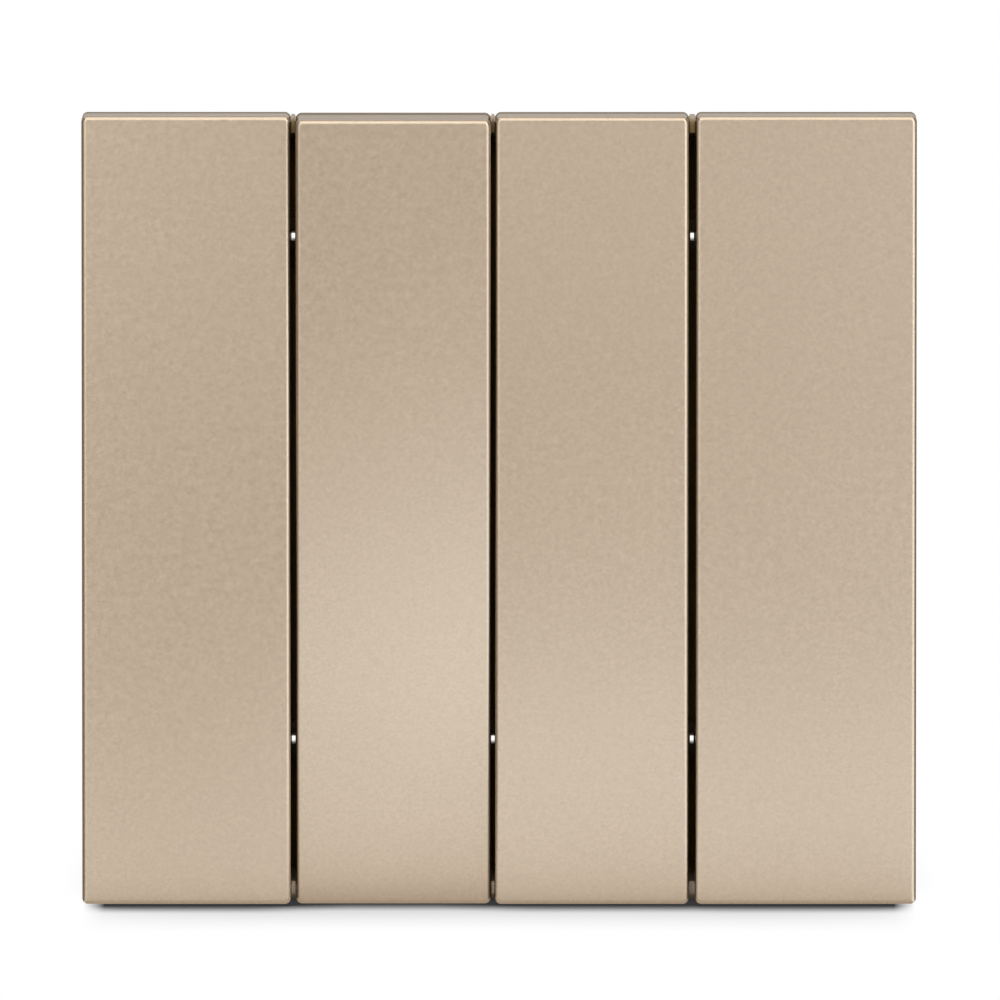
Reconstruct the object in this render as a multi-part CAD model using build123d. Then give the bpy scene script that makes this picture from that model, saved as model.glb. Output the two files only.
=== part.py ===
import os
from math import cos, hypot, radians, sin

from build123d import *

# Four-gang rocker switch. X runs to the right, Y into the wall and Z up.
# The origin is the middle of the back of the support plate, which lies on the wall.
# All sizes are in millimetres and all angles in degrees.

# Rockers, from left to right
ROCKER_WIDTHS = (17.52, 16.34, 16.24, 18.53)
ROCKER_GAPS = (0.47, 0.4, 0.6)
ROCKER_H = 66.4
ROCKER_DEPTH = 5.5      # from the face to the back edge of the skirt
FACE_T = 1.6
SKIRT_T = 1.2
CORNER_R = 0.5          # round the upright corners
EDGE_R = 0.32           # round the front, less than the corners
RIB_T = 1.0
RIB_H = 2.0
RIB_PITCH = 12.0
TILT = 1.4              # half of the throw
SHORT_OF_STOP = 0.6     # the third rocker hangs this much short of its stop
STOP_GAP = 0.15         # left behind the skirt at the end of the throw

# Rocker pivots
PIN_R = 1.0
RUN_FIT = 0.05          # radial clearance where something turns
PIN_FIT = 0.01          # radial clearance where a pin stays put
LEG_W = 4.2
LEG_FLARE = 1.4         # how much further the leg reaches each way at the face
LEG_ROOM = 0.5          # round the leg in the deck
BOSS_R = 1.95
EAR_T = 1.3
EAR_W = 3.9
EAR_LIP = 0.5
SNAP = 0.3              # how far the lips of an ear close over the pin
SIDE_GAP = 0.2          # between a leg and its ears
PIVOT_STAND = 4.4       # from the deck to the pin's axis
TONGUE_W = 2.4
TONGUE_L = 11.7         # from the pin's axis to the middle of the tongue's tip
TONGUE_ROOT = 1.35      # half of its height at the pin
TONGUE_NECK = 0.55      # and close to its tip
TONGUE_ROOM = 0.5       # each side of it in the cover
TIP_R = 0.8

# Support plate and the wall-box fixings
PLATE_INSET = (0.2, 0.85)   # set in from the outline of the carrier, sideways and upright
PLATE_T = 1.2
PLATE_CUT = 2.0         # slant across the corners
FIX_SPACING = 60.3
FIX_R = 1.95
FIX_SLOT = 5.0
DRIVER = 6.8            # window in the carrier for the head of a fixing screw
SLIDE_FIT = 0.2         # round the housing in the plate's window

# Carrier frame
CARRIER_INSET = 0.85    # set in from the outline of the rockers
CARRIER_CUT = 1.0       # slant across the corners
RIM_T = 1.2
RIM_H = 1.55            # above the deck
DECK_T = 2.0
FIN_FIT = 0.08          # each side of a fin in its gap between rockers
FIN_SET_BACK = 1.63     # behind the faces
FIN_HIGH_H = 1.35       # front face of an upper fin
FIN_LOW_H = 1.05        # and of a lower one
FIN_SLOPE = 0.7         # how far the underside of a lower fin rises to the front
FIN_TOP = 2.3           # depth of the outer edge of a fin
FIN_ROOT = 0.6          # how far a fin's foot reaches past the rim

# Lamps
LAMP_TOP_Z = 22.85
LAMP_LOW_Z = -19.7
BOARD_T = 0.8
BOARD_FIT = 0.2         # between the board and the ears beside it
BOARD_OVER = 0.6        # more board round the lamps, up and down
CHIP = (1.6, 0.55, 0.8)
GUIDE_FOOT = 2.4
GUIDE_FOOT_T = 1.0
GUIDE_TIP = (0.3, 0.6)
GUIDE_SET_BACK = 3.6    # behind the faces
STAKE = 1.2

# Base housing
HOUSING_INSET = 9.05    # set in sideways from the outline of the rockers
WALL_T = 1.2
HOUSING_CUT = 1.5       # slant across the corners
HOUSING_EDGE = 0.7      # slant round the back
FLOOR_T = 1.5
FLANGE_T = 1.2
FLANGE_OVER = 1.6
BAY_ROOM = 2.3          # past the ends of the seesaw
COVER_T = 1.5
LOOSE_FIT = 0.1

# Switch levers, springs and plungers
LEVER_ARM = 2.8         # from the tongue's tip to the shaft's axis
LEVER_SIDE = 0.45       # between a lever and the walls of its bay
SHAFT_R = 1.0
FORK_GAP = 0.18         # each side of the tongue's tip
FORK_FLOOR_GAP = 0.25   # behind the tongue's tip
CHEEK_T = 1.4
CHEEK_OVER = 1.2        # how far a cheek reaches past the middle of the tip
HUB_BACK = 2.0
SOCKET = (3.6, 3.2)     # inside of the plunger's socket
SOCKET_WALL = 0.9
SOCKET_FLOOR = 2.2
SOCKET_END = 6.3
PLUNGER_FIT = 0.08
PLUNGER_HEAD = 2.2
NOSE_R = 0.9
SPRING_L = 2.2
SPRING_T = 0.25
SPRING_FOOT = 1.3       # half of the bow's spread at its feet
SPRING_CROWN = 0.6      # and at its crown

# Contacts and terminals
SEESAW_BACK = 9.8       # from the shaft's axis to the back face of the seesaw, where it rocks
SEESAW_T = 1.0
SEESAW_W = 6.0
SEESAW_L = 18.8
SEESAW_TILT = 4.6
CONTACT_Z = -7.6
CONTACT = 2.4
CONTACT_T = 0.6
CONTACT_GAP = 0.04      # left between closed contacts
REST_W = 1.2
STRIP_T = 0.8
STRIP_W = 4.0
STRIP_BEND = 0.8        # slant at the foot of the fulcrum
FULCRUM_H = 4.5         # from the floor to the back face of the seesaw
BLOCK = (8.0, 7.6, 8.0)
BLOCK_ROOM = 1.0        # between the bay and the terminal block
WIRE_HOLE = 3.8
WIRE_HOLE_WALL = 0.9

# Screws
TERMINAL_SCREW_R = 1.75
TERMINAL_SCREW_OUT = 0.9
TERMINAL_WELL = (5.0, 6.4)
CASE_SCREW_R = 1.25
CASE_HEAD_R = 2.6       # to its corners
CASE_HEAD_T = 1.5
CASE_HEAD_GAP = 0.3     # between a head and the rim of the carrier
CASE_SCREW_Z = 20.0
PAD_GAP = 0.2           # between a screw's pad and the flange of the housing
DRIVE_SLOT = 0.7
DRIVE_DEPTH = 0.7

# How far joined shapes run into each other, and cuts past the edge
BITE = 0.5
PAST = 1.0

# Levels along Y, worked out from the wall forwards
FLANGE_FRONT = -PLATE_T - FLANGE_T
DECK_BACK = FLANGE_FRONT
DECK_FRONT = DECK_BACK - DECK_T
RIM_FRONT = DECK_FRONT - RIM_H
PIVOT_Y = DECK_FRONT - PIVOT_STAND
BOARD_FRONT = DECK_FRONT - BOARD_T
FOOT_FRONT = BOARD_FRONT - GUIDE_FOOT_T
COVER_BACK = FLANGE_FRONT + COVER_T
TIP_Y = PIVOT_Y + TONGUE_L
LEVER_Y = TIP_Y + LEVER_ARM
SEESAW_Y = LEVER_Y + SEESAW_BACK
FLOOR_Y = SEESAW_Y + FULCRUM_H
HOUSING_BACK = FLOOR_Y + FLOOR_T

# The skirts clear both the rim and the feet of the light guides at the end of the throw
THROW_AT_RIM = ROCKER_H / 2 * sin(radians(TILT))
THROW_AT_LAMP = max(abs(LAMP_TOP_Z), abs(LAMP_LOW_Z)) * sin(radians(TILT))
SKIRT_BACK = min(RIM_FRONT - THROW_AT_RIM, FOOT_FRONT - THROW_AT_LAMP) - STOP_GAP
FACE_Y = SKIRT_BACK - ROCKER_DEPTH

# Places along X
GANGS = len(ROCKER_WIDTHS)
WIDTH = sum(ROCKER_WIDTHS) + sum(ROCKER_GAPS)
EDGES = []
for n in range(GANGS):
    start = -WIDTH / 2 + sum(ROCKER_WIDTHS[:n]) + sum(ROCKER_GAPS[:n])
    EDGES.append((start, start + ROCKER_WIDTHS[n]))
GAPS = [EDGES[n][1] + ROCKER_GAPS[n] / 2 for n in range(GANGS - 1)]
HOUSING_W = WIDTH - 2 * HOUSING_INSET
BAY_PITCH = (HOUSING_W - WALL_T) / GANGS
BAYS = [BAY_PITCH * (n - (GANGS - 1) / 2) for n in range(GANGS)]
BAY_W = BAY_PITCH - WALL_T
LEVER_W = BAY_W - 2 * LEVER_SIDE
SHAFT_L = HOUSING_W - WALL_T
BOARD_W = min(ROCKER_GAPS) + 2 * (SKIRT_T + SIDE_GAP - BOARD_FIT)
PIN_L = LEG_W + 2 * SIDE_GAP + 2 * EAR_T
LEGS = []
for n in range(GANGS):
    room = SKIRT_T + SIDE_GAP + PIN_L / 2
    LEGS.append(min(max(BAYS[n], EDGES[n][0] + room), EDGES[n][1] - room))

# Heights
CARRIER_W = WIDTH - 2 * CARRIER_INSET
CARRIER_H = ROCKER_H - 2 * CARRIER_INSET
PLATE_W = CARRIER_W - 2 * PLATE_INSET[0]
PLATE_H = CARRIER_H - 2 * PLATE_INSET[1]
BAY_H = SEESAW_L + 2 * BAY_ROOM
BLOCK_Z = BAY_H / 2 + BLOCK_ROOM + BLOCK[2] / 2
POCKET_END = BLOCK_Z + BLOCK[2] / 2 + LOOSE_FIT
POCKET_W = BLOCK[0] + 2 * LOOSE_FIT
HOUSING_H = 2 * (POCKET_END + WALL_T)
WIRE_Y = FLOOR_Y - BLOCK[1] + WIRE_HOLE_WALL + WIRE_HOLE / 2
CASE_SCREW_X = CARRIER_W / 2 - RIM_T - CASE_HEAD_GAP - CASE_HEAD_R
CASE_PAD = 2 * (CASE_SCREW_X - HOUSING_W / 2 - FLANGE_OVER - PAD_GAP)

# Where each rocker rests, and the lever and seesaw that go with it
LEVER_RATIO = TONGUE_L / LEVER_ARM
ROCKER_REST = (-TILT, TILT, SHORT_OF_STOP - TILT, -TILT)
LEVER_REST = [-LEVER_RATIO * (TILT if a > 0 else -TILT) for a in ROCKER_REST]
SEESAW_REST = [SEESAW_TILT if a > 0 else -SEESAW_TILT for a in ROCKER_REST]

# The tip of the plunger stands just clear of the level seesaw
PLUNGER_END = SEESAW_Y - SEESAW_T - LEVER_Y - RUN_FIT
PLUNGER_START = SOCKET_FLOOR + SPRING_L
FIXED_Y = (SEESAW_Y + CONTACT_T * cos(radians(SEESAW_TILT)) + CONTACT_GAP
           + (CONTACT / 2 - CONTACT_Z) * sin(radians(SEESAW_TILT)))
REST_Y = SEESAW_Y + CONTACT_GAP + (REST_W / 2 - CONTACT_Z) * sin(radians(SEESAW_TILT))


def slab(sketch, back, front):
    """A sketch in X and Z, pushed out from the level back to the level front."""
    return extrude(Plane.XZ.offset(-back) * sketch, amount=back - front)


def across(sketch, x, width):
    """A sketch in Y and Z, pushed out along X to a width about x."""
    return extrude(Plane.YZ.offset(x - width / 2) * sketch, amount=width)


def rod(radius, x, length, y):
    return across(Pos(y, 0) * Circle(radius), x, length)


def outline(points):
    return make_face(Polyline(*points, close=True))


def clipped(width, height, cut):
    return chamfer(Rectangle(width, height).vertices(), cut)


def rounded(width, height, radius, flats=3):
    """A rectangle whose corners are rounded, each in a few flats that touch the true arc."""
    turn = 90 / (flats + 1)
    reach = radius / cos(radians(turn / 2))
    points = []
    for corner, (x, z) in enumerate(((1, 1), (-1, 1), (-1, -1), (1, -1))):
        for k in range(flats + 1):
            angle = radians(90 * corner + (k + 0.5) * turn)
            points.append((x * (width / 2 - radius) + reach * cos(angle),
                           z * (height / 2 - radius) + reach * sin(angle)))
    return outline(points)


def octagon(radius):
    return RegularPolygon(radius, 8, major_radius=False, rotation=22.5)


def turned(shape, y, angle):
    return shape.rotate(Axis((0, y, 0), (1, 0, 0)), angle)


def rocker(n):
    left, right = EDGES[n]
    width = right - left
    middle = Pos((left + right) / 2, 0)
    inside = FACE_Y + FACE_T
    body = slab(middle * rounded(width, ROCKER_H, CORNER_R), SKIRT_BACK, FACE_Y)
    body = fillet(body.faces().sort_by(Axis.Y)[0].edges(), EDGE_R)
    hollow = Rectangle(width - 2 * SKIRT_T, ROCKER_H - 2 * SKIRT_T)
    body -= slab(middle * hollow, SKIRT_BACK, inside)
    # stiffening ribs under the face: rows across it and one line over the leg
    top = inside - FACE_T / 2
    for row in (-2, -1, 1, 2):
        rib = Pos((left + right) / 2, row * RIB_PITCH) * Rectangle(width - SKIRT_T, RIB_T)
        body += slab(rib, inside + RIB_H, top)
    rib = Pos(LEGS[n], 0) * Rectangle(RIB_T, ROCKER_H - SKIRT_T)
    body += slab(rib, inside + RIB_H, top)
    # leg with its bearing, and the tongue that drives the lever
    root = BOSS_R + LEG_FLARE
    web = outline([(top, -root), (PIVOT_Y, -BOSS_R), (PIVOT_Y, BOSS_R), (top, root)])
    leg = across(web + Pos(PIVOT_Y, 0) * octagon(BOSS_R), LEGS[n], LEG_W)
    blade = outline([(PIVOT_Y, -TONGUE_ROOT), (TIP_Y, -TONGUE_NECK), (TIP_Y, TONGUE_NECK),
                     (PIVOT_Y, TONGUE_ROOT)])
    leg += across(blade + Pos(TIP_Y, 0) * octagon(TIP_R), LEGS[n], TONGUE_W)
    bore = rod(PIN_R + RUN_FIT, LEGS[n], LEG_W + PAST, PIVOT_Y)
    return turned(body + leg - bore, PIVOT_Y, ROCKER_REST[n])


def fin(n, side):
    top = ROCKER_H / 2
    height, slope = (FIN_HIGH_H, 0) if side > 0 else (FIN_LOW_H, FIN_SLOPE)
    front = FACE_Y + FIN_SET_BACK
    tip = top - slope
    rim_top = top - CARRIER_INSET
    shape = outline([
        (front, side * (tip - height)), (front, side * tip), (front + FIN_TOP, side * top),
        (RIM_FRONT, side * rim_top), (DECK_FRONT, side * rim_top),
        (DECK_FRONT, side * (rim_top - RIM_T - FIN_ROOT)), (RIM_FRONT, side * (rim_top - RIM_T)),
    ])
    return across(shape, GAPS[n], ROCKER_GAPS[n] - 2 * FIN_FIT)


def case_screw_places():
    return [Pos(side * CASE_SCREW_X, -side * CASE_SCREW_Z) for side in (-1, 1)]


def stake_places():
    top = LAMP_TOP_Z - GUIDE_FOOT
    low = LAMP_LOW_Z
    return [Pos(GAPS[0], top), Pos(GAPS[2], top), Pos((GAPS[0] + GAPS[1]) / 2, low),
            Pos((GAPS[1] + GAPS[2]) / 2, low)]


def carrier_frame():
    frame = slab(clipped(CARRIER_W, CARRIER_H, CARRIER_CUT), -PLATE_T, RIM_FRONT)
    well = Rectangle(CARRIER_W - 2 * RIM_T, CARRIER_H - 2 * RIM_T)
    frame -= slab(well, -PLATE_T, DECK_BACK)
    frame -= slab(well, DECK_FRONT, RIM_FRONT)
    # ears with snap bearings for the pivot pins
    seat = 2 * (PIN_R + PIN_FIT)
    ear_front = PIVOT_Y - seat / 2 - EAR_LIP
    ear_back = DECK_FRONT + BITE
    ear = Pos((ear_front + ear_back) / 2, 0) * Rectangle(ear_back - ear_front, EAR_W)
    ear -= Pos(PIVOT_Y, 0) * Rectangle(seat, seat)
    ear -= Pos(ear_front, 0) * Rectangle(2 * EAR_LIP, seat - SNAP)
    for x in LEGS:
        clear = Pos(x, 0) * Rectangle(LEG_W + 2 * SIDE_GAP, 2 * (BOSS_R + LEG_ROOM))
        frame -= slab(clear, DECK_BACK, DECK_FRONT)
        for side in (-1, 1):
            frame += across(ear, x + side * (LEG_W / 2 + SIDE_GAP + EAR_T / 2), EAR_T)
    for side in (-1, 1):
        reach = Pos(side * FIX_SPACING / 2, 0) * Rectangle(DRIVER, DRIVER)
        frame -= slab(reach, -PLATE_T, RIM_FRONT)
        for n in range(GANGS - 1):
            frame += fin(n, side)
    for place in case_screw_places():
        hole = 2 * (CASE_SCREW_R + LOOSE_FIT)
        frame += slab(place * Rectangle(CASE_PAD, CASE_PAD), -PLATE_T, DECK_BACK - BITE)
        frame -= slab(place * Rectangle(hole, hole), -PLATE_T, DECK_FRONT)
    for place in stake_places():
        frame += slab(place * Rectangle(STAKE, STAKE), DECK_FRONT + BITE, BOARD_FRONT)
    return frame


def support_plate():
    sheet = clipped(PLATE_W, PLATE_H, PLATE_CUT)
    sheet -= Rectangle(HOUSING_W + 2 * SLIDE_FIT, HOUSING_H + 2 * SLIDE_FIT)
    for side in (-1, 1):
        sheet -= Pos(side * FIX_SPACING / 2, 0) * SlotOverall(FIX_SLOT, 2 * FIX_R)
    for place in case_screw_places():
        sheet -= place * Circle(CASE_SCREW_R + PIN_FIT)
    return slab(sheet, 0, -PLATE_T)


def base_housing():
    body = slab(clipped(HOUSING_W, HOUSING_H, HOUSING_CUT), HOUSING_BACK, FLANGE_FRONT)
    body = chamfer(body.faces().sort_by(Axis.Y)[-1].edges(), HOUSING_EDGE)
    over = 2 * FLANGE_OVER
    body += slab(clipped(HOUSING_W + over, HOUSING_H + over, HOUSING_CUT), -PLATE_T, FLANGE_FRONT)
    body -= slab(Rectangle(HOUSING_W - 2 * WALL_T, HOUSING_H - 2 * WALL_T), COVER_BACK, FLANGE_FRONT)
    for x in BAYS:
        body -= slab(Pos(x, 0) * Rectangle(BAY_W, BAY_H), FLOOR_Y, COVER_BACK)
        body -= slab(Pos(x, 0) * Rectangle(POCKET_W, 2 * POCKET_END), FLOOR_Y, COVER_BACK)
        for side in (-1, 1):
            well = Pos(x, side * BLOCK_Z) * Rectangle(*TERMINAL_WELL)
            body -= slab(well, HOUSING_BACK, FLOOR_Y)
            # rest for the idle end of the seesaw, either side of the strip below it
            inner = STRIP_W / 2 + LOOSE_FIT
            outer = BAY_W / 2 + WALL_T / 4
            rest = Rectangle(outer - inner, REST_W)
            rest = Pos(x + side * (inner + outer) / 2, -CONTACT_Z) * rest
            body += slab(rest, FLOOR_Y + FLOOR_T / 4, REST_Y)
        body -= Pos(x, WIRE_Y, 0) * Box(WIRE_HOLE, WIRE_HOLE, HOUSING_H + PAST)
    # the lever shaft drops into slots that are open to the front
    bottom = LEVER_Y + SHAFT_R + PIN_FIT
    slot = Pos((bottom + COVER_BACK) / 2, 0) * Rectangle(bottom - COVER_BACK, 2 * (SHAFT_R + PIN_FIT))
    return body - across(slot, 0, SHAFT_L + 2 * PIN_FIT)


def mechanism_cover():
    sheet = Rectangle(HOUSING_W - 2 * WALL_T - 2 * LOOSE_FIT, HOUSING_H - 2 * WALL_T - 2 * LOOSE_FIT)
    for x in LEGS:
        sheet -= Pos(x, 0) * Rectangle(TONGUE_W + 2 * TONGUE_ROOM, 2 * BOSS_R)
    cover = slab(sheet, COVER_BACK, FLANGE_FRONT)
    # posts that keep the lever shaft down in its slots
    for n in range(GANGS - 1):
        post = Pos((BAYS[n] + BAYS[n + 1]) / 2, 0) * Rectangle(WALL_T, 2 * (SHAFT_R - LOOSE_FIT))
        cover += slab(post, LEVER_Y - SHAFT_R - PIN_FIT, COVER_BACK - BITE)
    return cover


def lever(n):
    fork = TIP_R + FORK_GAP
    front = TIP_Y - CHEEK_OVER
    back = LEVER_Y + HUB_BACK
    floor = TIP_Y + TIP_R + FORK_FLOOR_GAP
    side = Pos((front + back) / 2, 0) * clipped(back - front, 2 * (fork + CHEEK_T), CHEEK_T / 2)
    side -= Pos((front + floor) / 2, 0) * Rectangle(floor - front, 2 * fork)
    body = across(side, BAYS[n], LEVER_W)
    place = Pos(BAYS[n], 0)
    socket = Rectangle(SOCKET[0] + 2 * SOCKET_WALL, SOCKET[1] + 2 * SOCKET_WALL)
    body += slab(place * socket, LEVER_Y + SOCKET_END, back - BITE)
    body -= slab(place * Rectangle(*SOCKET), LEVER_Y + SOCKET_END, LEVER_Y + SOCKET_FLOOR)
    body -= rod(SHAFT_R + RUN_FIT, BAYS[n], LEVER_W + PAST, LEVER_Y)
    return turned(body, LEVER_Y, LEVER_REST[n])


def plunger(n):
    half = SOCKET[1] / 2 - PLUNGER_FIT
    shoulder = PLUNGER_START + PLUNGER_HEAD
    middle = PLUNGER_END - NOSE_R
    side = outline([
        (PLUNGER_START, -half), (shoulder, -half), (middle, -NOSE_R), (middle, NOSE_R), (shoulder, half),
        (PLUNGER_START, half),
    ])
    side += Pos(middle, 0) * octagon(NOSE_R)
    body = across(Pos(LEVER_Y, 0) * side, BAYS[n], SOCKET[0] - 2 * PLUNGER_FIT)
    return turned(body, LEVER_Y, LEVER_REST[n])


def spring(n):
    """A bow of strip, with its feet on the socket's floor and its crown under the plunger."""
    foot = SOCKET_FLOOR + PIN_FIT
    crown = PLUNGER_START - PIN_FIT
    slope = (SPRING_FOOT - SPRING_CROWN) / (crown - foot)
    wall = SPRING_T * hypot(1, slope)
    inner = SPRING_CROWN + slope * SPRING_T - wall
    bow = outline([(foot, -SPRING_FOOT), (crown, -SPRING_CROWN), (crown, SPRING_CROWN), (foot, SPRING_FOOT)])
    bow -= outline([(foot, wall - SPRING_FOOT), (crown - SPRING_T, -inner), (crown - SPRING_T, inner),
                    (foot, SPRING_FOOT - wall)])
    body = across(Pos(LEVER_Y, 0) * bow, BAYS[n], SOCKET[0] - 4 * PLUNGER_FIT)
    return turned(body, LEVER_Y, LEVER_REST[n])


def seesaw(n):
    side = Pos(SEESAW_Y - SEESAW_T / 2, 0) * Rectangle(SEESAW_T, SEESAW_L)
    side -= Pos(SEESAW_Y, 0) * Circle(STRIP_T / 2 + RUN_FIT)
    body = across(side, BAYS[n], SEESAW_W)
    tip = Pos(BAYS[n], CONTACT_Z) * Rectangle(CONTACT, CONTACT)
    body += slab(tip, SEESAW_Y + CONTACT_T, SEESAW_Y)
    return turned(body, SEESAW_Y, SEESAW_REST[n])


def terminal_block(n, side):
    z = side * BLOCK_Z
    block = Pos(BAYS[n], FLOOR_Y - BLOCK[1] / 2, z) * Box(*BLOCK)
    block -= Pos(BAYS[n], WIRE_Y, z) * Box(WIRE_HOLE, WIRE_HOLE, BLOCK[2] + PAST)
    hole = Pos(BAYS[n], z) * octagon(TERMINAL_SCREW_R + PIN_FIT)
    return block - slab(hole, FLOOR_Y, WIRE_Y)


def line_terminal(n):
    """A terminal block and a strip along the floor, bent up into the seesaw's knife edge."""
    half = STRIP_T / 2
    level = FLOOR_Y - STRIP_T
    strip = outline([
        (FLOOR_Y, BLOCK_Z), (FLOOR_Y, STRIP_BEND - half), (FLOOR_Y - STRIP_BEND, -half), (SEESAW_Y, -half),
        (SEESAW_Y - half, 0), (SEESAW_Y, half), (level - STRIP_BEND, half), (level, half + STRIP_BEND),
        (level, BLOCK_Z),
    ])
    body = across(strip, BAYS[n], STRIP_W)
    hole = Pos(BAYS[n], BLOCK_Z) * octagon(TERMINAL_SCREW_R + PIN_FIT)
    return terminal_block(n, 1) + (body - slab(hole, FLOOR_Y, WIRE_Y))


def load_terminal(n):
    back = FIXED_Y + CONTACT_T
    low = BLOCK[2] / 2 - BLOCK_Z - BITE
    high = CONTACT_Z + CONTACT / 2 + STRIP_T / 2
    strip = Pos(BAYS[n], (low + high) / 2) * Rectangle(STRIP_W, high - low)
    body = slab(strip, back + STRIP_T, back)
    body += slab(Pos(BAYS[n], CONTACT_Z) * Rectangle(CONTACT, CONTACT), back, FIXED_Y)
    return terminal_block(n, -1) + body


def terminal_screw(place):
    top = FLOOR_Y + TERMINAL_SCREW_OUT
    drive = place * Rectangle(2 * TERMINAL_SCREW_R + PAST, DRIVE_SLOT)
    return slab(place * Circle(TERMINAL_SCREW_R), top, WIRE_Y) - slab(drive, top, top - DRIVE_DEPTH)


def case_screw(place):
    top = DECK_FRONT - CASE_HEAD_T
    body = slab(place * Circle(CASE_SCREW_R), 0, DECK_FRONT)
    head = RegularPolygon(CASE_HEAD_R, 6, rotation=30)
    return body + slab(place * head, DECK_FRONT, top)


def lamp_board():
    half = BOARD_W / 2 + BOARD_OVER
    low = LAMP_LOW_Z - half
    top = LAMP_TOP_Z + half
    sheet = Pos((GAPS[0] + GAPS[2]) / 2, LAMP_LOW_Z) * Rectangle(GAPS[2] - GAPS[0] + BOARD_W, 2 * half)
    for x in (GAPS[0], GAPS[2]):
        sheet += Pos(x, (low + top) / 2) * Rectangle(BOARD_W, top - low)
    for place in stake_places():
        sheet -= place * Rectangle(STAKE + LOOSE_FIT, STAKE + LOOSE_FIT)
    return slab(sheet, DECK_FRONT, BOARD_FRONT)


def lamp_places():
    places = {"status_%d" % (n + 1): (GAPS[n // 2 * 2], (LAMP_TOP_Z, LAMP_LOW_Z)[n % 2]) for n in range(4)}
    places["locator"] = (GAPS[1], LAMP_LOW_Z)
    return places


def light_guide(x, z):
    place = Pos(x, z)
    body = slab(place * Rectangle(GUIDE_FOOT, GUIDE_FOOT), BOARD_FRONT, FOOT_FRONT)
    body += slab(place * Rectangle(*GUIDE_TIP), FOOT_FRONT, FACE_Y + GUIDE_SET_BACK)
    pocket = Rectangle(CHIP[0] + 2 * LOOSE_FIT, CHIP[2] + 2 * LOOSE_FIT)
    return body - slab(place * pocket, BOARD_FRONT, BOARD_FRONT - CHIP[1] - LOOSE_FIT)


os.makedirs("parts", exist_ok=True)
pieces = {
    "carrier_frame": carrier_frame(),
    "support_plate": support_plate(),
    "base_housing": base_housing(),
    "mechanism_cover": mechanism_cover(),
    "lever_shaft": rod(SHAFT_R, 0, SHAFT_L, LEVER_Y),
    "lamp_board": lamp_board(),
}
for n in range(GANGS):
    name = "_%d" % (n + 1)
    pieces["rocker" + name] = rocker(n)
    pieces["pivot_pin" + name] = rod(PIN_R, LEGS[n], PIN_L, PIVOT_Y)
    pieces["switch_lever" + name] = lever(n)
    pieces["plunger" + name] = plunger(n)
    pieces["spring" + name] = spring(n)
    pieces["seesaw_contact" + name] = seesaw(n)
    pieces["line_terminal" + name] = line_terminal(n)
    pieces["load_terminal" + name] = load_terminal(n)
for name, (x, z) in lamp_places().items():
    pieces[name + "_light_guide"] = light_guide(x, z)
    chip = Pos(x, z) * Rectangle(CHIP[0], CHIP[2])
    pieces[name + "_lamp_chip"] = slab(chip, BOARD_FRONT, BOARD_FRONT - CHIP[1])

terminal_places = [Pos(x, side * BLOCK_Z) for x in BAYS for side in (-1, 1)]
pieces["terminal_screws"] = Compound([terminal_screw(place) for place in terminal_places])
pieces["assembly_screws"] = Compound([case_screw(place) for place in case_screw_places()])

for name, shape in pieces.items():
    export_step(shape, "parts/%s.step" % name)
print(len(pieces), "pieces, face", round(FACE_Y, 3), "pivot", round(PIVOT_Y, 3), "width", round(WIDTH, 3))
print("legs", [round(x, 3) for x in LEGS], "gaps", [round(x, 3) for x in GAPS])
print("lever ratio", round(LEVER_RATIO, 5), "seesaw ratio", round(SEESAW_TILT / TILT, 5))
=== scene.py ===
import math
import bpy
from mathutils import Matrix, Vector


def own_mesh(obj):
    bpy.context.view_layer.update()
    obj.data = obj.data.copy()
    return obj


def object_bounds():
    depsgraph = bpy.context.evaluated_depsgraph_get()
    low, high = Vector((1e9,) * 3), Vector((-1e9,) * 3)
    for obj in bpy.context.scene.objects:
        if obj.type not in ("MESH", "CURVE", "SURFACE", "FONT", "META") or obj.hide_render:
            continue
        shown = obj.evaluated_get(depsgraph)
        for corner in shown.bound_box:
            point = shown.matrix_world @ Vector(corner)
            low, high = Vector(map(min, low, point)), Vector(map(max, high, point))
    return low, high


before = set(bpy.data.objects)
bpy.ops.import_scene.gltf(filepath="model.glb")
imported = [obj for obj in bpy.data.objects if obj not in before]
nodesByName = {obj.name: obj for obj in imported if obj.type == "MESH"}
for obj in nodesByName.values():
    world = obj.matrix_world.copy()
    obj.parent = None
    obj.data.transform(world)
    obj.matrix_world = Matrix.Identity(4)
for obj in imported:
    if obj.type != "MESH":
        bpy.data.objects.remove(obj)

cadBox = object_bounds()
scene = bpy.context.scene
mm = 0.001

print("frame loaded:", len(nodesByName), "pieces")


# small helpers for the shader graphs

samples = {"softEdge": 4, "nearness": 12}


def startMaterial(name):
    material = bpy.data.materials.new(name)
    material.use_nodes = True
    tree = material.node_tree
    tree.nodes.clear()
    output = tree.nodes.new("ShaderNodeOutputMaterial")
    shader = tree.nodes.new("ShaderNodeBsdfPrincipled")
    tree.links.new(shader.outputs["BSDF"], output.inputs["Surface"])
    return material, tree, shader


def objectPoint(tree, stretch=(1, 1, 1), turn=0.0, about=(0, 0, 0)):
    place = tree.nodes.new("ShaderNodeTexCoord")
    mapping = tree.nodes.new("ShaderNodeMapping")
    mapping.inputs["Scale"].default_value = stretch
    mapping.inputs["Rotation"].default_value = (turn, 0, 0)
    mapping.inputs["Location"].default_value = -(Matrix.Rotation(turn, 3, "X") @ Vector(about))
    tree.links.new(place.outputs["Object"], mapping.inputs["Vector"])
    return mapping.outputs["Vector"]


def axis(tree, point, name):
    node = tree.nodes.new("ShaderNodeSeparateXYZ")
    tree.links.new(point, node.inputs["Vector"])
    return node.outputs[name]


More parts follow.
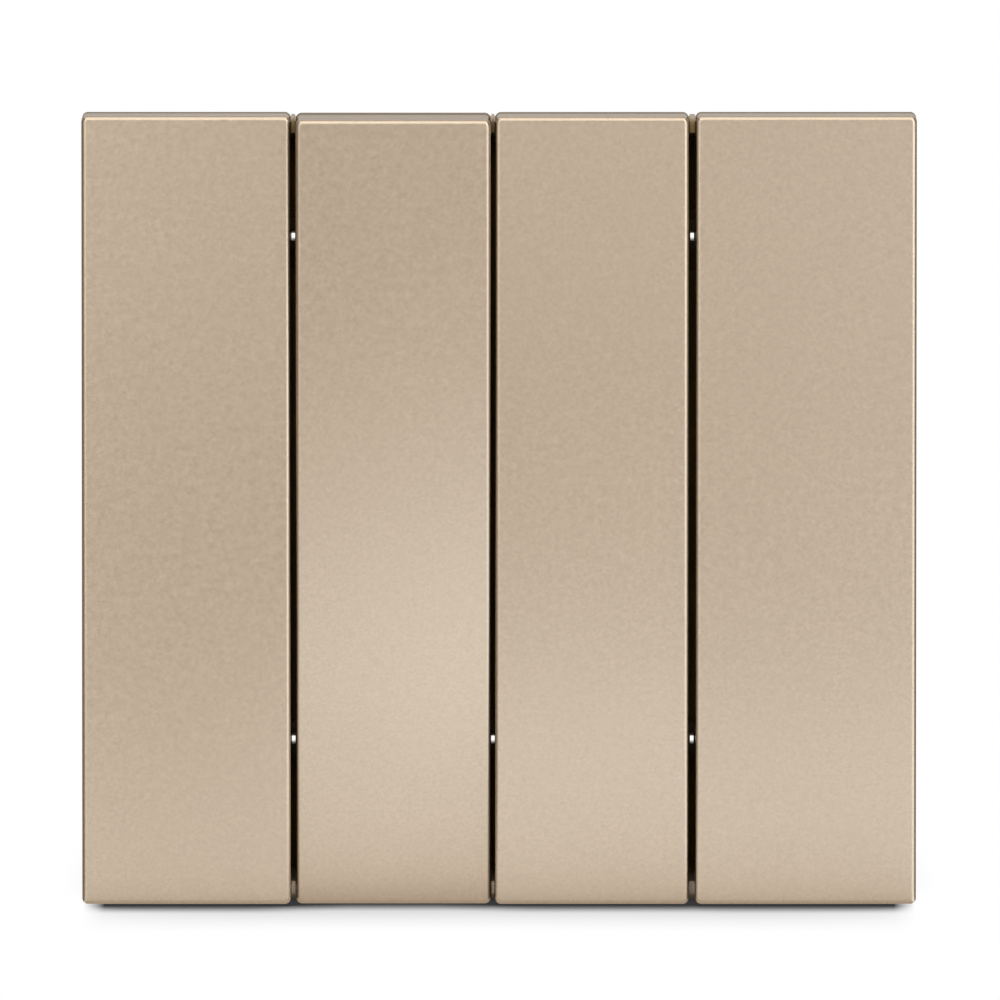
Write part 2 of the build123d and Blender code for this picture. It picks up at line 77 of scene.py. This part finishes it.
def noise(tree, point, size, detail=2.0, roughness=0.55):
    node = tree.nodes.new("ShaderNodeTexNoise")
    node.inputs["Scale"].default_value = 1 / size   # size of one blotch, in metres
    node.inputs["Detail"].default_value = detail
    node.inputs["Roughness"].default_value = roughness
    tree.links.new(point, node.inputs["Vector"])
    return node.outputs["Fac"]


def cells(tree, point, size):
    node = tree.nodes.new("ShaderNodeTexVoronoi")
    node.inputs["Scale"].default_value = 1 / size
    tree.links.new(point, node.inputs["Vector"])
    split = tree.nodes.new("ShaderNodeSeparateColor")
    tree.links.new(node.outputs["Color"], split.inputs["Color"])
    return split.outputs["Red"]


def spread(tree, value, low, high, fromLow=0.3, fromHigh=0.7):
    node = tree.nodes.new("ShaderNodeMapRange")
    node.inputs["From Min"].default_value = fromLow
    node.inputs["From Max"].default_value = fromHigh
    node.inputs["To Min"].default_value = low
    node.inputs["To Max"].default_value = high
    tree.links.new(value, node.inputs["Value"])
    return node.outputs["Result"]


def reckon(tree, operation, a, b=None):
    node = tree.nodes.new("ShaderNodeMath")
    node.operation = operation
    for socket, given in zip(node.inputs, (a, b)):
        if isinstance(given, bpy.types.NodeSocket):
            tree.links.new(given, socket)
        elif given is not None:
            socket.default_value = given
    return node.outputs["Value"]


def mixed(tree, factor, first, second):
    rest = reckon(tree, "SUBTRACT", 1.0, factor)
    firstShare = reckon(tree, "MULTIPLY", first, rest)
    return reckon(tree, "ADD", firstShare, reckon(tree, "MULTIPLY", second, factor))


def blended(tree, factor, first, second):
    node = tree.nodes.new("ShaderNodeMix")
    node.data_type = "RGBA"
    for socket, colour in (("A", first), ("B", second)):
        target = [s for s in node.inputs if s.name == socket and s.type == "RGBA"][0]
        if isinstance(colour, bpy.types.NodeSocket):
            tree.links.new(colour, target)
        else:
            target.default_value = (*colour, 1)
    tree.links.new(factor, node.inputs["Factor"])
    return [s for s in node.outputs if s.type == "RGBA"][0]


def ramped(tree, value, stops):
    node = tree.nodes.new("ShaderNodeValToRGB")
    elements = node.color_ramp.elements
    elements[0].position, elements[1].position = stops[0][0], stops[-1][0]
    for position, level in stops[1:-1]:
        elements.new(position)
    for element, (position, level) in zip(elements, stops):
        element.color = (level, level, level, 1)
    tree.links.new(value, node.inputs["Fac"])
    return node.outputs["Color"]


def bumped(tree, shader, height, depth, softEdge=0.0):
    node = tree.nodes.new("ShaderNodeBump")
    if softEdge:
        bevel = tree.nodes.new("ShaderNodeBevel")
        bevel.samples = samples["softEdge"]
        bevel.inputs["Radius"].default_value = softEdge
        tree.links.new(bevel.outputs["Normal"], node.inputs["Normal"])
    node.inputs["Distance"].default_value = depth
    tree.links.new(height, node.inputs["Height"])
    tree.links.new(node.outputs["Normal"], shader.inputs["Normal"])


def nearness(tree, reach):
    node = tree.nodes.new("ShaderNodeAmbientOcclusion")
    node.samples = samples["nearness"]
    node.inputs["Distance"].default_value = reach
    return node.outputs["AO"]   # 1 in the open, less close to other surfaces


def shaded(colour, factor):
    return tuple(c * factor for c in colour)


def around(shift):
    return 1 - shift, 1 + shift


def dress(names, material, smoothAngle=35):
    for name in names:
        piece = nodesByName[name]
        piece.data.materials.clear()
        piece.data.materials.append(material)
        for polygon in piece.data.polygons:
            polygon.use_smooth = True
        split = piece.modifiers.new("crisp edges", "EDGE_SPLIT")
        split.split_angle = math.radians(smoothAngle)


gangs = range(1, 5)
guideNames = ["status_%d" % n for n in gangs] + ["locator"]


# champagne lacquer on the rockers

lacquer = {
    "colour": (0.53, 0.43, 0.325),
    "flakeShift": 0.035,     # lighter and darker flakes
    "flakeSize": 0.16 * mm,
    "grainSize": 0.36 * mm,
    "grainShift": 0.022,
    "cloudSize": 9 * mm,
    "cloudShift": 0.008,
    "toneSpan": 0.15,        # room for all three shifts together
    "metal": 0.85,
    "roughness": (0.19, 0.24),
    "peelSize": 0.9 * mm,
    "peelDepth": 0.0007 * mm,
    "gapShadeReach": 0.9 * mm,    # painted shade on the walls in the narrow gaps, within this reach of a neighbour
    "gapShadeClose": (0.45, 0.95),    # openness, from shut in to clear of it
    "gapShadeTone": 0.3,
    "gapShadeFacing": (0.65, 0.98),   # how far a surface turns sideways, from none of this to all of it
    "specular": 0.5,
    "bareOrShadedSpecular": 0.0,          # dull on the bare deck and where painted shade darkens the fins and the back of the rocker skirts
    "edgeTint": (1, 0.93, 0.85),  # of reflections at a low angle
    "softEdge": 0.2 * mm,         # lacquer gathers on the edges
}

rockerLook = {
    "pivot": (0, -8.8 * mm, 0),
    "rest": (-1.4, 1.4, -0.8, -1.4),              # degrees, top forward is plus
    "rimShadeStart": -0.7 * mm,                        # from the pivot backwards, where painted shade darkens the back of the skirt
    "rimShadeEnd": 0.3 * mm,
    "rimShadeTone": 0.5,
}


def lacquered(look, point, tree, shader, factor, bareOrShade):
    flake = spread(tree, cells(tree, point, look["flakeSize"]), *around(look["flakeShift"]), 0, 1)
    grain = spread(tree, noise(tree, point, look["grainSize"]), *around(look["grainShift"]))
    cloud = spread(tree, noise(tree, point, look["cloudSize"], 3), *around(look["cloudShift"]))
    tone = reckon(tree, "MULTIPLY", reckon(tree, "MULTIPLY", flake, grain), cloud)
    low, high = around(look["toneSpan"])
    lightness = spread(tree, tone, 0, 1, low, high)
    colour = blended(tree, lightness, shaded(look["colour"], low), shaded(look["colour"], high))
    colour = blended(tree, factor, colour, bareOrShade)
    # painted shade on walls that face sideways and are shut in by a neighbour, down the narrow gaps
    close = spread(tree, nearness(tree, look["gapShadeReach"]), 1, 0, *look["gapShadeClose"])
    normal = tree.nodes.new("ShaderNodeNewGeometry").outputs["Normal"]
    sideways = spread(tree, reckon(tree, "ABSOLUTE", axis(tree, normal, "X")), 0, 1, *look["gapShadeFacing"])
    paintedGapShade = reckon(tree, "MULTIPLY", close, sideways)
    colour = blended(tree, paintedGapShade, colour, shaded(look["colour"], look["gapShadeTone"]))
    tree.links.new(colour, shader.inputs["Base Color"])
    gloss = noise(tree, point, look["grainSize"] * 2)
    tree.links.new(spread(tree, gloss, *look["roughness"]), shader.inputs["Roughness"])
    tree.links.new(spread(tree, factor, look["metal"], 0, 0, 1), shader.inputs["Metallic"])
    specular = shader.inputs["Specular IOR Level"]
    specular.default_value = look["specular"]
    tree.links.new(spread(tree, factor, look["specular"], look["bareOrShadedSpecular"], 0, 1), specular)
    shader.inputs["Specular Tint"].default_value = (*look["edgeTint"], 1)
    bumped(tree, shader, noise(tree, point, look["peelSize"], 1), look["peelDepth"], softEdge=look["softEdge"])


for n in gangs:
    material, tree, shader = startMaterial("champagne_lacquer_%d" % n)
    point = objectPoint(tree, turn=-math.radians(rockerLook["rest"][n - 1]), about=rockerLook["pivot"])
    # painted shade: a darker, dull band along the back of each skirt
    rim = spread(tree, axis(tree, point, "Y"), 0, 1, rockerLook["rimShadeStart"], rockerLook["rimShadeEnd"])
    lacquered(lacquer, point, tree, shader, rim, shaded(lacquer["colour"], rockerLook["rimShadeTone"]))
    dress(["rocker_%d" % n], material, smoothAngle=50)
print("rockers lacquered")


# the carrier frame behind them: its rim and fins are lacquered, with painted shade on the fins; the deck
# inside stays dark, partly its own colour and partly painted shade

# the rockers' champagne, set a little darker as painted shade
carrierLook = dict(lacquer, colour=(0.5, 0.405, 0.305), metal=0.5, roughness=(0.35, 0.45),
                   peelDepth=0.004 * mm, specular=0.15, softEdge=0.0)
deckLook = {
    # the deck's own dark colour, with the brown tint of the shade down the gaps painted in
    "colour": (0.15, 0.085, 0.014),
    "halfWidth": (32.8 * mm, 32.9 * mm),    # lacquered outside this
    "deckHeight": (31.1 * mm, 31.2 * mm),   # from the middle up and down
    "finsBehind": (-6 * mm, -5.9 * mm),     # fins are in front of this
    "halfHeight": 34 * mm,
    # how bare or shaded it is, from the lowest edge up to the highest: both rows of fins are lacquered, with
    # painted shade darkening them towards the deck and at the lower ends of the bottom fins
    "bareAndShadeTones": ((0, 1), (0.02, 0.9), (0.0245, 0.1), (0.0385, 0), (0.042, 1), (0.961, 1), (0.9655, 0.9),
                  (0.975, 0.88), (0.9795, 0.83), (0.9825, 0.7), (0.986, 0.4), (0.9885, 0), (1, 0)),
}


def carrierMaterial(look, deck):
    material, tree, shader = startMaterial("carrier_plastic")
    point = objectPoint(tree)
    across = spread(tree, reckon(tree, "ABSOLUTE", axis(tree, point, "X")), 1, 0, *deck["halfWidth"])
    upright = axis(tree, point, "Z")
    onDeck = spread(tree, reckon(tree, "ABSOLUTE", upright), 1, 0, *deck["deckHeight"])
    onFin = spread(tree, axis(tree, point, "Y"), 1, 0, *deck["finsBehind"])
    height = spread(tree, upright, 0, 1, -deck["halfHeight"], deck["halfHeight"])
    # painted shade: the fins darken towards the deck, and at the lower ends of the bottom fins
    bareOrShade = ramped(tree, height, deck["bareAndShadeTones"])
    onEither = reckon(tree, "MAXIMUM", onDeck, onFin)
    inside = reckon(tree, "MULTIPLY", reckon(tree, "MULTIPLY", across, bareOrShade), onEither)
    lacquered(look, point, tree, shader, inside, deck["colour"])
    return material


dress(["carrier_frame"], carrierMaterial(carrierLook, deckLook))
print("carrier frame done")


# mouldings

moulded = {
    "housing_plastic": {"colour": (0.76, 0.75, 0.715), "roughness": (0.42, 0.55), "grain": 0.35 * mm,
                        "depth": 0.012 * mm, "shift": 0.035, "names": ["base_housing"]},
    "cover_plastic": {"colour": (0.1, 0.1, 0.102), "roughness": (0.5, 0.62), "grain": 0.4 * mm,
                      "depth": 0.012 * mm, "shift": 0.06, "names": ["mechanism_cover"]},
    "lever_plastic": {"colour": (0.72, 0.715, 0.67), "roughness": (0.35, 0.48), "grain": 0.5 * mm,
                      "depth": 0.008 * mm, "shift": 0.03, "names": ["switch_lever_%d" % n for n in gangs]},
}
mouldedAll = {
    "flowSize": 12 * mm,       # faint streaks of the melt
    "toneFrom": (0.7, 1.3),    # grain and streaks added up
    "specular": 0.45,
}


def mouldedMaterial(name, look):
    material, tree, shader = startMaterial(name)
    point = objectPoint(tree)
    grain = noise(tree, point, look["grain"], 3)
    flow = noise(tree, point, mouldedAll["flowSize"], 2)
    tone = spread(tree, reckon(tree, "ADD", grain, flow), 0, 1, *mouldedAll["toneFrom"])
    low, high = around(look["shift"])
    colour = blended(tree, tone, shaded(look["colour"], low), shaded(look["colour"], high))
    tree.links.new(colour, shader.inputs["Base Color"])
    tree.links.new(spread(tree, grain, *look["roughness"]), shader.inputs["Roughness"])
    shader.inputs["Specular IOR Level"].default_value = mouldedAll["specular"]
    bumped(tree, shader, grain, look["depth"])
    return material


for slotName, look in moulded.items():
    dress(look["names"], mouldedMaterial(slotName, look))
print("mouldings done")


# metals

metals = {
    "zinc_plated_steel": {"colour": (0.56, 0.57, 0.585), "tint": (0.63, 0.62, 0.6), "roughness": (0.3, 0.46),
                          "spangle": 2.4 * mm, "brush": (1, 1, 14), "names": ["support_plate"]},
    "bright_steel": {"colour": (0.62, 0.62, 0.625), "tint": (0.56, 0.56, 0.57), "roughness": (0.18, 0.3),
                     "spangle": 0.8 * mm, "brush": (12, 1, 1),
                     "names": (["lever_shaft"] + ["pivot_pin_%d" % n for n in gangs]
                               + ["plunger_%d" % n for n in gangs])},
    "screw_steel": {"colour": (0.6, 0.59, 0.555), "tint": (0.66, 0.62, 0.52), "roughness": (0.25, 0.4),
                    "spangle": 0.5 * mm, "brush": (1, 6, 1), "names": ["terminal_screws", "assembly_screws"]},
    "spring_steel": {"colour": (0.4, 0.405, 0.42), "tint": (0.33, 0.34, 0.38), "roughness": (0.25, 0.38),
                     "spangle": 0.4 * mm, "brush": (1, 1, 9), "names": ["spring_%d" % n for n in gangs]},
    "contact_brass": {"colour": (0.72, 0.52, 0.25), "tint": (0.62, 0.42, 0.2), "roughness": (0.25, 0.4),
                      "spangle": 1.2 * mm, "brush": (9, 1, 1),
                      "names": ["seesaw_contact_%d" % n for n in gangs]},
    "terminal_brass": {"colour": (0.74, 0.54, 0.26), "tint": (0.6, 0.41, 0.2), "roughness": (0.28, 0.44),
                       "spangle": 1.5 * mm, "brush": (1, 1, 9),
                       "names": ["%s_terminal_%d" % (kind, n) for kind in ("line", "load") for n in gangs]},
}
metalsAll = {
    "brushSize": 0.4 * mm,
    "brushDepth": 0.004 * mm,
    "spangleShare": 0.6,       # of the change from colour to tint, and the rest by the brushing
    "brushShare": 0.4,
}


def metalMaterial(name, look):
    material, tree, shader = startMaterial(name)
    point = objectPoint(tree)
    brushed = noise(tree, objectPoint(tree, look["brush"]), metalsAll["brushSize"], 3, 0.7)
    spangle = spread(tree, cells(tree, point, look["spangle"]), 0, metalsAll["spangleShare"], 0, 1)
    tone = reckon(tree, "ADD", spangle, spread(tree, brushed, 0, metalsAll["brushShare"]))
    tree.links.new(blended(tree, tone, look["colour"], look["tint"]), shader.inputs["Base Color"])
    tree.links.new(spread(tree, brushed, *look["roughness"]), shader.inputs["Roughness"])
    shader.inputs["Metallic"].default_value = 1.0
    bumped(tree, shader, brushed, metalsAll["brushDepth"])
    return material


for slotName, look in metals.items():
    dress(look["names"], metalMaterial(slotName, look))
print("metals done")


# each spring gets a mesh of its own

for n in gangs:
    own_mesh(nodesByName["spring_%d" % n])


# lamp board, lamp chips and light guides

lampLook = {
    # the board's own dark colours, with the brown tint of the shade down the gaps painted in
    "mask": (0.12, 0.07, 0.012),
    "copper": (0.15, 0.088, 0.016),
    "trackStretch": (1, 1, 0.15),
    "trackSize": 1.3 * mm,
    "trackEdge": (0.48, 0.52),
    "weave": 0.5 * mm,
    "weaveDepth": 0.006 * mm,
    "boardRoughness": (0.4, 0.55),
    "boardSpecular": 0.06,
    "chipBody": (0.85, 0.83, 0.76),
    "chipTop": (0.9, 0.7, 0.18),
    "chipBlotch": 0.5 * mm,
    "chipRoughness": 0.3,
    "guide": (0.93, 0.92, 0.88),
    "guideRoughness": (0.3, 0.42),
    "guideSpecular": 0.15,
    "hazeSize": 0.25 * mm,
    "hazeTone": 0.94,
    "darkFoot": (0.13, 0.076, 0.015),   # painted shade: the foot of a guide is dark brown like the shade down the gaps
    "tipBack": (0.45, 0.55),          # share of its depth where the dark foot begins
    "glow": 1.1,
    "glowColour": (1.0, 0.96, 0.9),
    "glowHalf": (0.05, 0.0625),       # as shares of the foot: full light, and the tip's edge
    "glowEdge": 0.6,
    "glowLow": (0.415, 0.51),         # the light fades towards the lower end of the tip
    "glowFoot": 0.04,
    "glowFront": (0.02, 0.2),         # share of its depth over which it fades
}


def boardMaterial(look):
    material, tree, shader = startMaterial("board_laminate")
    point = objectPoint(tree)
    weave = cells(tree, point, look["weave"])
    tracks = noise(tree, objectPoint(tree, look["trackStretch"]), look["trackSize"], 0)
    colour = blended(tree, spread(tree, tracks, 0, 1, *look["trackEdge"]), look["mask"], look["copper"])
    tree.links.new(colour, shader.inputs["Base Color"])
    tree.links.new(spread(tree, weave, *look["boardRoughness"], 0, 1), shader.inputs["Roughness"])
    shader.inputs["Specular IOR Level"].default_value = look["boardSpecular"]
    bumped(tree, shader, weave, look["weaveDepth"])
    return material


def chipMaterial(look):
    material, tree, shader = startMaterial("lamp_chip")
    point = objectPoint(tree)
    tone = noise(tree, point, look["chipBlotch"], 2)
    colour = blended(tree, spread(tree, tone, 0, 1), look["chipBody"], look["chipTop"])
    tree.links.new(colour, shader.inputs["Base Color"])
    shader.inputs["Roughness"].default_value = look["chipRoughness"]
    return material


def guideMaterial(look):
    material, tree, shader = startMaterial("guide_plastic")
    haze = noise(tree, objectPoint(tree), look["hazeSize"], 2)
    clear = blended(tree, spread(tree, haze, 0, 1), shaded(look["guide"], look["hazeTone"]), look["guide"])
    share = tree.nodes.new("ShaderNodeTexCoord").outputs["Generated"]
    # painted shade on the foot of the guide, behind the tip
    darkFoot = spread(tree, axis(tree, share, "Y"), 0, 1, *look["tipBack"])
    tree.links.new(blended(tree, darkFoot, clear, look["darkFoot"]), shader.inputs["Base Color"])
    tree.links.new(spread(tree, haze, *look["guideRoughness"]), shader.inputs["Roughness"])
    shader.inputs["Specular IOR Level"].default_value = look["guideSpecular"]
    # lit on the front of the tip, fading downwards
    sideways = reckon(tree, "ABSOLUTE", reckon(tree, "SUBTRACT", axis(tree, share, "X"), 0.5))
    inside = spread(tree, sideways, 1, look["glowEdge"], *look["glowHalf"])
    upper = spread(tree, axis(tree, share, "Z"), look["glowFoot"], 1, *look["glowLow"])
    front = spread(tree, axis(tree, share, "Y"), 1, 0, *look["glowFront"])
    lit = reckon(tree, "MULTIPLY", reckon(tree, "MULTIPLY", inside, upper), front)
    tree.links.new(reckon(tree, "MULTIPLY", lit, look["glow"]), shader.inputs["Emission Strength"])
    shader.inputs["Emission Color"].default_value = (*look["glowColour"], 1)
    return material


dress(["lamp_board"], boardMaterial(lampLook))
dress([name + "_lamp_chip" for name in guideNames], chipMaterial(lampLook))
dress([name + "_light_guide" for name in guideNames], guideMaterial(lampLook))
print("lamps done")


# the table: white for the eye, with the shadow close under the part

tableLook = {
    "colour": (0.88, 0.88, 0.88),
    "reach": 6.0,
    # dark close under the part, with a faint wide shade round it
    "contactReach": 5.1 * mm,
    "contactTones": ((0.5, 0.07), (0.532, 0.092), (0.65, 0.203), (0.812, 0.566), (0.948, 0.866), (1, 1)),
    "wideReach": 18 * mm,
    "wideTones": ((0.5, 0.58), (0.555, 0.64), (0.618, 0.7), (0.682, 0.76), (0.802, 0.863), (0.907, 0.939),
                  (1, 1)),
    "shadowEnds": (33.2 * mm, 35 * mm),
    "softEnds": (12 * mm, 37 * mm),       # behind the part
    "softFrom": (-9 * mm, 6 * mm),
    # darkest right under the part
    "underFront": (-10.5 * mm, -7 * mm),
    "underBack": (2 * mm, 32 * mm),
    "underTone": 0.3,
    # light on the table by distance in front of the part, as the lacquer mirrors it
    "poolFrom": -0.05,
    "poolTo": 0.9,
    "poolPeak": 1.5,
    "poolTones": ((0, 0.05), (0.0526, 0.13), (0.0632, 0.39), (0.0789, 0.66), (0.105, 0.77), (0.137, 0.82),
                  (0.179, 0.94), (0.232, 1), (0.295, 0.72), (0.379, 0.48), (0.495, 0.455), (0.684, 0.59),
                  (1, 0.7)),
    # it is dimmer to the left from some way out, and a little dimmer to the right
    "leftFrom": (-26 * mm, -9 * mm),
    "leftAhead": (0.03, 0.15),
    "leftLoss": 0.31,
    "rightFrom": (-9 * mm, 8 * mm),
    "rightLoss": 0.02,
    "poolTint": (1.2, 1.4),       # green and blue gain more than red where it is bright
    # past the ends of the row it goes by the angle, from far left over straight ahead to far right
    "fanAcross": 35 * mm,
    "fanAhead": 12.4 * mm,
    "fanLeast": 0.1 * mm,         # beside the row counts as just in front of it
    "fanFrom": (0.03, 0.11),      # radians
    "fanPeak": 1.65,
    "fanTones": ((0, 0.15), (0.25, 0.15), (0.333, 0.35), (0.378, 0.74), (0.456, 0.74), (0.5, 0.58), (0.556, 1),
                 (0.778, 1), (0.844, 0.3), (0.917, 0.16), (1, 0.16)),
}


def makeTable(look):
    half = look["reach"]
    floorZ = cadBox[0].z
    mesh = bpy.data.meshes.new("table_top")
    corners = [(-half, -half, floorZ), (half, -half, floorZ), (half, half, floorZ), (-half, half, floorZ)]
    mesh.from_pydata(corners, [], [(0, 1, 2, 3)])
    table = bpy.data.objects.new("table_top", mesh)
    scene.collection.objects.link(table)
    material = bpy.data.materials.new("table_white")
    material.use_nodes = True
    tree = material.node_tree
    tree.nodes.clear()
    output = tree.nodes.new("ShaderNodeOutputMaterial")
    point = objectPoint(tree)
    sideways = axis(tree, point, "X")
    # contact shadow, fading out towards both ends of the part
    contact = ramped(tree, nearness(tree, look["contactReach"]), look["contactTones"])
    wide = ramped(tree, nearness(tree, look["wideReach"]), look["wideTones"])
    depth = axis(tree, point, "Y")
    underFront = spread(tree, depth, 1, look["underTone"], *look["underFront"])
    underBack = spread(tree, depth, look["underTone"], 1, *look["underBack"])
    under = reckon(tree, "MAXIMUM", underFront, underBack)
    shadow = reckon(tree, "MULTIPLY", reckon(tree, "MULTIPLY", contact, wide), under)
    outward = reckon(tree, "ABSOLUTE", sideways)
    crispEnds = spread(tree, outward, 1, 0, *look["shadowEnds"])
    softEnds = spread(tree, outward, 1, 0, *look["softEnds"])
    ends = mixed(tree, spread(tree, depth, 0, 1, *look["softFrom"]), crispEnds, softEnds)
    path = tree.nodes.new("ShaderNodeLightPath")
    glossy = path.outputs["Is Glossy Ray"]
    shadowSeen = reckon(tree, "MULTIPLY", ends, reckon(tree, "SUBTRACT", 1.0, glossy))
    seenColour = blended(tree, shadowSeen, (1, 1, 1), shadow)
    # pool of light in front, seen only in reflections
    ahead = reckon(tree, "MULTIPLY", depth, -1.0)
    pool = ramped(tree, spread(tree, ahead, 0, 1, look["poolFrom"], look["poolTo"]), look["poolTones"])
    farOut = spread(tree, ahead, 0, 1, *look["leftAhead"])
    toLeft = reckon(tree, "MULTIPLY", spread(tree, sideways, 1, 0, *look["leftFrom"]), farOut)
    pool = reckon(tree, "MULTIPLY", pool, spread(tree, toLeft, 1, 1 - look["leftLoss"], 0, 1))
    pool = reckon(tree, "MULTIPLY", pool, spread(tree, sideways, 1, 1 - look["rightLoss"], *look["rightFrom"]))
    past = reckon(tree, "MAXIMUM", reckon(tree, "SUBTRACT", outward, look["fanAcross"]), 0.0)
    beside = reckon(tree, "MULTIPLY", past, reckon(tree, "SIGN", sideways))
    before = reckon(tree, "MAXIMUM", reckon(tree, "SUBTRACT", ahead, look["fanAhead"]), look["fanLeast"])
    angle = reckon(tree, "ARCTAN2", beside, before)
    fan = ramped(tree, spread(tree, angle, 0, 1, -math.pi / 2, math.pi / 2), look["fanTones"])
    aside = spread(tree, reckon(tree, "ABSOLUTE", angle), 0, 1, *look["fanFrom"])
    poolLevel = reckon(tree, "MULTIPLY", pool, look["poolPeak"])
    level = mixed(tree, aside, poolLevel, reckon(tree, "MULTIPLY", fan, look["fanPeak"]))
    mirrored = tree.nodes.new("ShaderNodeCombineColor")
    tree.links.new(level, mirrored.inputs["Red"])
    for channel, power in zip(("Green", "Blue"), look["poolTint"]):
        tree.links.new(reckon(tree, "POWER", level, power), mirrored.inputs[channel])
    glow = tree.nodes.new("ShaderNodeEmission")
    tree.links.new(blended(tree, glossy, seenColour, mirrored.outputs["Color"]), glow.inputs["Color"])
    matte = tree.nodes.new("ShaderNodeBsdfDiffuse")
    matte.inputs["Color"].default_value = (*look["colour"], 1)
    direct = reckon(tree, "ADD", path.outputs["Is Camera Ray"], glossy)
    seen = reckon(tree, "ADD", direct, path.outputs["Is Transmission Ray"])
    mixSeen = tree.nodes.new("ShaderNodeMixShader")
    tree.links.new(seen, mixSeen.inputs["Fac"])
    tree.links.new(matte.outputs["BSDF"], mixSeen.inputs[1])
    tree.links.new(glow.outputs["Emission"], mixSeen.inputs[2])
    # from below the table can be seen through
    facing = tree.nodes.new("ShaderNodeNewGeometry")
    clear = tree.nodes.new("ShaderNodeBsdfTransparent")
    mixSide = tree.nodes.new("ShaderNodeMixShader")
    tree.links.new(facing.outputs["Backfacing"], mixSide.inputs["Fac"])
    tree.links.new(mixSeen.outputs["Shader"], mixSide.inputs[1])
    tree.links.new(clear.outputs["BSDF"], mixSide.inputs[2])
    tree.links.new(mixSide.outputs["Shader"], output.inputs["Surface"])
    mesh.materials.append(material)


makeTable(tableLook)
print("table laid")


# light: soft boxes above and either side of the lens, in a room that is darker to the sides

lightLook = {
    "roomColour": (1, 0.985, 0.965),
    # from the front to the back
    "roomTones": ((0, 0.46), (0.2, 0.42), (0.42, 0.1), (0.62, 0.1), (0.85, 0.58), (1, 0.58)),
    "boxColour": (1.0, 0.985, 0.955),
    "boxes": {
        # where it hangs, width and height, watts
        "top_box": ((0.05, -0.4, 0.86), (1.2, 2.0), 11.5),
        "left_box": ((-0.26, -0.97, 0.24), (0.3, 0.62), 1.2),
        "right_box": ((0.485, -0.875, 0.24), (0.55, 0.62), 2.4),
    },
}


def makeLights(look):
    world = bpy.data.worlds.new("room")
    world.use_nodes = True
    tree = world.node_tree
    tree.nodes.clear()
    output = tree.nodes.new("ShaderNodeOutputWorld")
    room = tree.nodes.new("ShaderNodeBackground")
    room.inputs["Color"].default_value = (*look["roomColour"], 1)
    direction = tree.nodes.new("ShaderNodeTexCoord").outputs["Generated"]
    backward = spread(tree, axis(tree, direction, "Y"), 0, 1, -1, 1)
    tree.links.new(ramped(tree, backward, look["roomTones"]), room.inputs["Strength"])
    white = tree.nodes.new("ShaderNodeBackground")
    white.inputs["Color"].default_value = (1, 1, 1, 1)
    white.inputs["Strength"].default_value = 1.0
    path = tree.nodes.new("ShaderNodeLightPath")
    mix = tree.nodes.new("ShaderNodeMixShader")
    tree.links.new(path.outputs["Is Camera Ray"], mix.inputs["Fac"])
    tree.links.new(room.outputs["Background"], mix.inputs[1])
    tree.links.new(white.outputs["Background"], mix.inputs[2])
    tree.links.new(mix.outputs["Shader"], output.inputs["Surface"])
    scene.world = world
    for name, (place, size, watts) in look["boxes"].items():
        lamp = bpy.data.lights.new(name, "AREA")
        lamp.shape = "RECTANGLE"
        lamp.size, lamp.size_y = size
        lamp.energy = watts
        lamp.color = look["boxColour"]
        box = bpy.data.objects.new(name, lamp)
        box.location = place
        box.rotation_euler = Vector(place).to_track_quat("Z", "Y").to_euler()
        box.visible_camera = False
        scene.collection.objects.link(box)


makeLights(lightLook)
print("lights hung")


# camera, a long lens a little above the part

cameraLook = {
    "elevation": 6.4,
    "distance": 2.2,
    "frameWidth": 84.04 * mm,     # width of the picture at the faces
    "aim": (0.0, -11.0 * mm, 0.0),
    "shift": (0.0009, 0.0101),
    "sensor": 36,
    "clip": (0.1, 20),
}


def makeCamera(look):
    lens = bpy.data.cameras.new("camera")
    lens.sensor_width = look["sensor"]
    lens.lens = look["sensor"] * look["distance"] / look["frameWidth"]
    lens.shift_x, lens.shift_y = look["shift"]
    lens.clip_start, lens.clip_end = look["clip"]
    camera = bpy.data.objects.new("camera", lens)
    tilt = math.radians(look["elevation"])
    back = Vector((0, -math.cos(tilt), math.sin(tilt)))
    camera.location = Vector(look["aim"]) + back * look["distance"]
    camera.rotation_euler = back.to_track_quat("Z", "Y").to_euler()
    scene.collection.objects.link(camera)
    scene.camera = camera


makeCamera(cameraLook)
scene.view_settings.view_transform = "Standard"
print("camera set")

bpy.context.view_layer.update()
